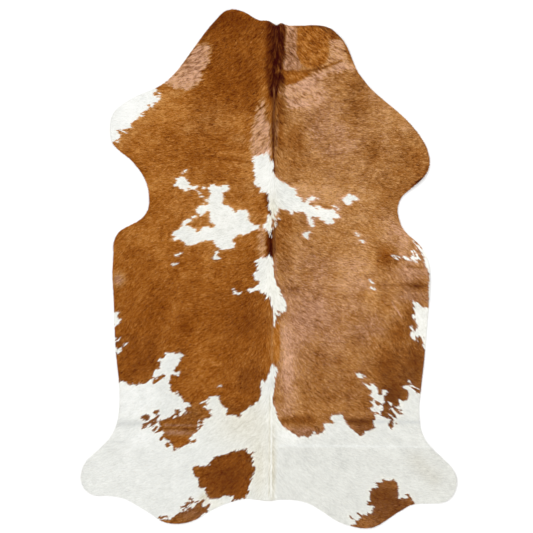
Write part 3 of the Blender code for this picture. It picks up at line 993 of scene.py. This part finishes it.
def paint(base, ovals, areas, lines):
    # two charts, tone and sheen or cream, from the base and what is laid over it
    right = ease((gridX - spineAcross) / borders["sidesEdge"] + 0.5)
    fields = [np.full(gridX.shape, value) for value in base["left"]]
    fields = layOver(fields, right, base["right"])
    for x, y, halfX, halfY, tone, second in ovals.values():
        fields = layOver(fields, mound(x, y, halfX, halfY), (tone, second))
    for tone, second, edge, outline in areas.values():
        inside = depthInside(inMetres(outline)) * 1000 / edge
        share = ease(inside + 0.5 + borders["areaRagged"] * shortStreaks)
        fields = layOver(fields, share, (tone, second))
    for tone, second, halfWidth, points in lines.values():
        points = inMetres(points)
        away = np.min([lineDistance(gridX, gridY, *pair) for pair in zip(points, points[1:])], axis=0)
        fields = layOver(fields, np.exp(-(away * 1000 / halfWidth) ** 2), (tone, second))
    return fields


brownTone, brownSheen = paint(brownBase, brownOvals, brownAreas, brownLines)
whiteTone, whiteCream = paint(whiteBase, whiteOvals, whiteAreas, whiteLines)
ruffled = np.max([depthInside(inMetres(brownAreas[name][3])) for name in ruffledAreas], axis=0)
ruffled = ease(ruffled / borders["ruffledEdge"] + 0.5)
for *oval, amount in ruffledOvals.values():
    ruffled += amount * mound(*oval)
print("tones laid out")


# ---- the hide

hide = {
    "leather": 0.002,       # thickness
    "inset": 0.0008,        # the leather ends this far inside the coat's edge
    "step": 0.012,          # spacing of the sheet's points
    "clearOfEdge": 0.006,
    "joinWithin": 1e-6,     # points of the sheet closer than this are one
    "smoothBelow": math.radians(40),
}


def insetLoop(loop, distance):
    # the loop moved inwards; the loop runs anticlockwise
    along = np.roll(loop, -1, 0) - np.roll(loop, 1, 0)
    along /= np.linalg.norm(along, axis=1)[:, None]
    return loop + distance * np.stack([-along[:, 1], along[:, 0]], axis=1)


def hexagonPoints(step):
    # a triangular grid over the whole chart
    rowStep = step * math.sqrt(3) / 2
    rowCount = math.ceil((chartHigh[1] - chartLow[1]) / rowStep)
    columnCount = math.ceil((chartHigh[0] - chartLow[0]) / step)
    column, row = np.meshgrid(np.arange(columnCount), np.arange(rowCount))
    x = chartLow[0] + (column + row % 2 / 2) * step
    y = chartLow[1] + row * rowStep
    return x.ravel(), y.ravel()


def buildHide():
    edge = insetLoop(rim, hide["inset"])
    x, y = hexagonPoints(hide["step"])
    kept = read(depth, x, y) > hide["inset"] + hide["clearOfEdge"]
    plan = [Vector(point) for point in edge] + [Vector(point) for point in zip(x[kept], y[kept])]
    border = list(range(len(edge)))
    plan, _, faces, _, _, _ = delaunay_2d_cdt(plan, [], [border], 1, hide["joinWithin"])
    planX, planY = np.array(plan).T
    lift = liftOf(planX, planY)
    mesh = bpy.data.meshes.new("hide")
    mesh.from_pydata(np.stack([planX, planY, lift], axis=1).tolist(), [], faces)
    if mesh.polygons[0].normal.z < 0:
        mesh.flip_normals()
    sheet = bpy.data.objects.new("hide", mesh)
    bpy.context.scene.collection.objects.link(sheet)
    bpy.context.view_layer.objects.active = sheet
    sheet.select_set(True)
    thick = sheet.modifiers.new("leather", "SOLIDIFY")
    thick.thickness = hide["leather"]
    thick.offset = 1.0
    bpy.ops.object.modifier_apply(modifier=thick.name)
    bpy.ops.object.shade_smooth_by_angle(angle=hide["smoothBelow"])
    sheet.select_set(False)
    return sheet


def colourHide(sheet):
    # undercoat in the colour of the hair above it, suede below and on the cut edge
    mesh = sheet.data
    mesh.materials.append(skinMaterial())
    mesh.materials.append(suedeMaterial("flesh_side", 0.0))
    mesh.materials.append(suedeMaterial("cut_edge", suede["edgeDarker"]))
    up = np.empty(len(mesh.polygons) * 3)
    mesh.polygons.foreach_get("normal", up)
    up = up.reshape(-1, 3)[:, 2]
    mesh.polygons.foreach_set("material_index", np.where(up > 0.5, 0, np.where(up < -0.5, 1, 2)).astype("i"))
    places = np.empty(len(mesh.vertices) * 3)
    mesh.vertices.foreach_get("co", places)
    x, y, _ = places.reshape(-1, 3).T
    share = ease(read(white, x, y) / skin["borderWidth"] + 0.5)[:, None]
    tone = read(brownTone, x, y)[:, None]
    brown = np.array(skin["underDarkHair"]) * (1 - tone) + np.array(skin["underLightHair"]) * tone
    pale = np.array(skin["underWhiteHair"])
    colours = brown * (1 - share) + pale * share
    attribute = mesh.color_attributes.new("undercoat", "FLOAT_COLOR", "POINT")
    attribute.data.foreach_set("color", colours.ravel())


hideSheet = buildHide()
colourHide(hideSheet)
print("hide:", len(hideSheet.data.polygons), "faces")


# ---- the coat

coat = {
    "spacing": 0.00250,
    "scatter": 0.45,        # a root is off its place by up to this share of the spacing
    "length": 0.016,
    "lengths": (0.7, 1.15),     # shares of the length, rise and width from lock to lock
    "rises": (0.7, 1.3),
    "widths": (0.75, 1.25),
    "shortest": 0.004,
    "spineExtra": 0.010,    # hair is longer along the back, and longest on the neck
    "spineReach": 0.03,
    "maneExtra": 0.008,
    "maneFrom": 0.35,       # the mane grows in from here along the back
    "maneOver": 0.3,        # over this length
    "width": 0.0021,
    "widest": 0.38,         # share of the length where a lock is widest
    "ridge": 0.00045,       # the middle of a lock stands this far above its sides
    "rise": 0.0030,         # tips lie this far above the leather
    "maneRise": 0.0030,
    "turn": math.radians(10),
    "turnTogether": 0.3,    # neighbours turn together by up to half of this, in radians
    "turnSize": 0.011,
    "turnSeed": 41,
    "overhang": 0.0010,     # tips reach past the cut edge by up to this
    "rootsPast": 0.0020,    # and roots too, where the hair lies inwards
    "ahead": 0.008,         # how far along the hair that is judged
    "seenAt": 0.7,          # share of the length whose place gives a lock its colour
    "seed": 5,
}

# Tone changes from one lock to the next, and in clouds and streaks.
toneSpread = {
    "lock": 0.16,
    "lockInSheen": 0.01,
    "shortStreak": 0.055,
    "longStreak": 0.015,
    "streakInSheen": 0.025,
    "streakWhereRuffled": 0.09,
    "spreadByTone": (2.4, -0.1, 0.3),   # dark hair varies less: slope, start and least share of it
    "cloudsByTone": (2.0, -0.2, 0.2),
    "borderByTone": (2.0, 0.0, 0.0),
    "calmAlong": (-0.2, 0.2),       # the coat is calmer behind here, livelier before
    "calmShare": (0.90, 1.08),
    "clouds": 0.18,
    "cloudSize": 0.045,
    "cloudSeed": 51,
    "mottle": 0.12,
    "mottleInSheen": 0.03,
    "mottleSize": 0.014,
    "mottleSeed": 52,
    "sheenSpread": 0.25,
    "sheenClouds": 0.4,
    "sheenCloudSeed": 53,
    "sheenLeast": 0.1,      # sheen varies this much even where there is none
    "whiteShare": 0.35,     # how much of all this white hair takes on, more where it is bright or cream
    "brightShare": 0.85,
    "creamShare": 0.6,
    "borderAlong": (0.03, 0.10),    # along a white patch brown hair is darker behind here, lighter before
    "borderTone": (-0.09, 0.19),
    "borderSheen": 0.40,    # and nowhere as red
    "borderReach": 0.006,
    "whiteBorderTone": 0.28,    # white hair is brighter and creamier along brown hair
    "whiteBorderCream": 0.30,
    "edgeShade": 0.05,      # all hair is darker along the cut edge
    "edgeReach": 0.005,
}

lockTones = {"rootToTip": 0.05, "chartHalfHeight": 0.006}

# The coat's pieces, from the rump to the neck, each up to the given place along the back.
coatPieces = {
    "coat.rump": -0.62,
    "coat.loin": -0.24,
    "coat.back": 0.16,
    "coat.shoulders": 0.56,
    "coat.neck": 1.20,
}


def byTone(tone, name):
    # the share of a variation that hair of each tone takes on
    slope, start, least = toneSpread[name]
    return np.clip(tone * slope + start, least, 1.0)


def growLocks():
    # every lock's root, arrow, length, width, rise and colour, as arrays
    dice = np.random.default_rng(coat["seed"])
    x, y = hexagonPoints(coat["spacing"])
    x = x + dice.uniform(-coat["scatter"], coat["scatter"], x.size) * coat["spacing"]
    y = y + dice.uniform(-coat["scatter"], coat["scatter"], x.size) * coat["spacing"]
    here = read(depth, x, y)
    ahead = read(depth, x + read(lieX, x, y) * coat["ahead"], y + read(lieY, x, y) * coat["ahead"])
    kept = (here > 0) | ((here > -coat["rootsPast"]) & (ahead - here > coat["ahead"] / 2))
    x, y = x[kept], y[kept]
    count = x.size
    together = (cloud(x, y, coat["turnSize"], coat["turnSeed"]) - 0.5) * coat["turnTogether"]
    turn = dice.normal(0, coat["turn"], count) + together
    lie = np.arctan2(read(lieY, x, y), read(lieX, x, y)) + turn
    goX, goY = np.cos(lie), np.sin(lie)
    out = np.abs(x - np.interp(y, spine["along"], spine["across"]))
    nearSpine = np.exp(-(out / coat["spineReach"]) ** 2)
    onMane = nearSpine * ease((y - coat["maneFrom"]) / coat["maneOver"])
    length = coat["length"] + coat["spineExtra"] * nearSpine + coat["maneExtra"] * onMane
    length *= dice.uniform(*coat["lengths"], count)
    rise = (coat["rise"] + coat["maneRise"] * onMane) * dice.uniform(*coat["rises"], count)
    width = coat["width"] * dice.uniform(*coat["widths"], count)

    # tips that would pass the cut edge are trimmed back to it
    rootDepth = read(depth, x, y)
    tipDepth = read(depth, x + goX * length, y + goY * length)
    allowed = coat["overhang"] * dice.uniform(0.0, 1.0, count)
    past = tipDepth < -allowed
    length[past] *= ((rootDepth + allowed) / np.maximum(rootDepth - tipDepth, 1e-6))[past]
    length = np.maximum(length, coat["shortest"])

    seenX, seenY = x + goX * length * coat["seenAt"], y + goY * length * coat["seenAt"]
    isWhite = read(white, seenX, seenY) + dice.normal(0, borders["stray"], count) > 0
    sheen = read(brownSheen, seenX, seenY)
    spread = dice.normal(0, 1, count) * (toneSpread["lock"] + toneSpread["lockInSheen"] * sheen)
    shortPull = toneSpread["shortStreak"] + toneSpread["streakInSheen"] * sheen
    streak = read(shortStreaks, seenX, seenY)
    ruffling = toneSpread["streakWhereRuffled"] * read(ruffled, seenX, seenY) * streak
    spread += streak * shortPull
    spread += read(longStreaks, seenX, seenY) * toneSpread["longStreak"]
    spread *= np.interp(seenY, toneSpread["calmAlong"], toneSpread["calmShare"])
    big = cloud(seenX, seenY, toneSpread["cloudSize"], toneSpread["cloudSeed"])
    small = cloud(seenX, seenY, toneSpread["mottleSize"], toneSpread["mottleSeed"])
    mottle = toneSpread["mottle"] + toneSpread["mottleInSheen"] * sheen
    clouds = (big - 0.5) * toneSpread["clouds"] + (small - 0.5) * mottle
    tone = read(brownTone, seenX, seenY)
    spread = spread * byTone(tone, "spreadByTone") + clouds * byTone(tone, "cloudsByTone") + ruffling
    fromEdge = np.maximum(read(depth, seenX, seenY), 0)
    spread -= toneSpread["edgeShade"] * np.exp(-fromEdge / toneSpread["edgeReach"])
    border = np.exp(-(read(white, seenX, seenY) / toneSpread["borderReach"]) ** 2)
    borderPull = border * np.interp(seenY, toneSpread["borderAlong"], toneSpread["borderTone"])
    tone += spread + borderPull * byTone(tone, "borderByTone")
    sheen = sheen + border * toneSpread["borderSheen"]
    bright = read(whiteTone, seenX, seenY) + border * toneSpread["whiteBorderTone"]
    cream = read(whiteCream, seenX, seenY) + border * toneSpread["whiteBorderCream"]
    whiteShare = toneSpread["whiteShare"] + toneSpread["brightShare"] * bright
    whiteShare += toneSpread["creamShare"] * cream
    tone = np.where(isWhite, bright + spread * whiteShare, tone)
    sheenClouds = cloud(seenX, seenY, toneSpread["cloudSize"], toneSpread["sheenCloudSeed"]) - 0.5
    sheenPull = dice.normal(0, 1, count) * toneSpread["sheenSpread"] + sheenClouds * toneSpread["sheenClouds"]
    sheen += sheenPull * (sheen + toneSpread["sheenLeast"])
    second = np.where(isWhite, cream, sheen)
    return {
        "x": x, "y": y, "goX": goX, "goY": goY, "length": length, "width": width, "rise": rise,
        "isWhite": isWhite, "tone": np.clip(tone, 0, 1), "second": np.clip(second, 0, 1),
    }


def onLeather(x, y):
    return liftOf(x, y) + hide["leather"]


def lockPoints(locks):
    # four corners a lock: root, right side, tip, left side
    x, y, goX, goY = (locks[name] for name in ("x", "y", "goX", "goY"))
    length, width, rise = (locks[name] for name in ("length", "width", "rise"))
    tipX, tipY = x + goX * length, y + goY * length
    rootZ, tipZ = onLeather(x, y), onLeather(tipX, tipY) + rise
    wideX, wideY = x + goX * length * coat["widest"], y + goY * length * coat["widest"]
    wideZ = rootZ + (tipZ - rootZ) * coat["widest"] - coat["ridge"]
    root = (x, y, rootZ)
    right = (wideX + goY * width / 2, wideY - goX * width / 2, wideZ)
    tip = (tipX, tipY, tipZ)
    left = (wideX - goY * width / 2, wideY + goX * width / 2, wideZ)
    return np.stack([np.stack(corner, axis=1) for corner in (root, right, tip, left)], axis=1)


def lockPlacesOnChart(locks):
    # where each corner of a lock lies on the chart of colours
    toneLow, toneHigh = hairFinish["toneColumns"]
    u = toneLow + locks["tone"] * (toneHigh - toneLow)
    brownLow, brownHigh = hairFinish["brownRows"]
    whiteLow, whiteHigh = hairFinish["whiteRows"]
    brownV = brownLow + locks["second"] * (brownHigh - brownLow)
    whiteV = whiteLow + locks["second"] * (whiteHigh - whiteLow)
    v = np.where(locks["isWhite"], whiteV, brownV)
    run, rise = lockTones["rootToTip"], lockTones["chartHalfHeight"]
    corners = ((-run, 0), (0, -rise), (run, 0), (0, rise))
    return np.stack([np.stack([u + moveU, v + moveV], axis=1) for moveU, moveV in corners], axis=1)


def buildCoatPiece(name, locks, material):
    # two triangles a lock, which meet along its raised middle
    count = locks["x"].size
    mesh = bpy.data.meshes.new(name)
    mesh.vertices.add(count * 4)
    mesh.vertices.foreach_set("co", lockPoints(locks).astype("f").ravel())
    corners = (np.arange(count)[:, None] * 4 + np.array([0, 1, 2, 0, 2, 3])).ravel()
    mesh.loops.add(count * 6)
    mesh.loops.foreach_set("vertex_index", corners.astype("i"))
    mesh.polygons.add(count * 2)
    mesh.polygons.foreach_set("loop_start", np.arange(0, count * 6, 3, dtype="i"))
    mesh.update(calc_edges=True)
    mesh.validate()
    places = lockPlacesOnChart(locks).reshape(-1, 2)[corners].astype("f").ravel()
    for layer in ("hairChart", "OFBake"):
        mesh.uv_layers.new(name=layer).data.foreach_set("uv", places)
    mesh.shade_smooth()
    mesh.materials.append(material)
    piece = bpy.data.objects.new(name, mesh)
    bpy.context.scene.collection.objects.link(piece)
    return piece


def buildCoat():
    locks = growLocks()
    material = hairMaterial()
    made = []
    low = -math.inf
    for name, high in coatPieces.items():
        here = (locks["y"] >= low) & (locks["y"] < high)
        part = {key: values[here] for key, values in locks.items()}
        made.append(buildCoatPiece(name, part, material))
        print(name, here.sum(), "locks")
        low = high
    return made


coatObjects = buildCoat()


# ---- floor, and what the frame is told

def buildFloor():
    bpy.ops.mesh.primitive_plane_add(size=studio["floorSide"], location=(0, 0, -studio["floorGap"]))
    floor = bpy.context.object
    floor.name = "floor"
    material, _, shader = newMaterial("pale_floor", studio["floorRoughness"], studio["floorSpecular"])
    shader.inputs["Base Color"].default_value = studio["floor"]
    floor.data.materials.append(material)


buildFloor()
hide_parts("cowhide")
for piece in [hideSheet, *coatObjects]:
    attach(piece, "root")

print("done")
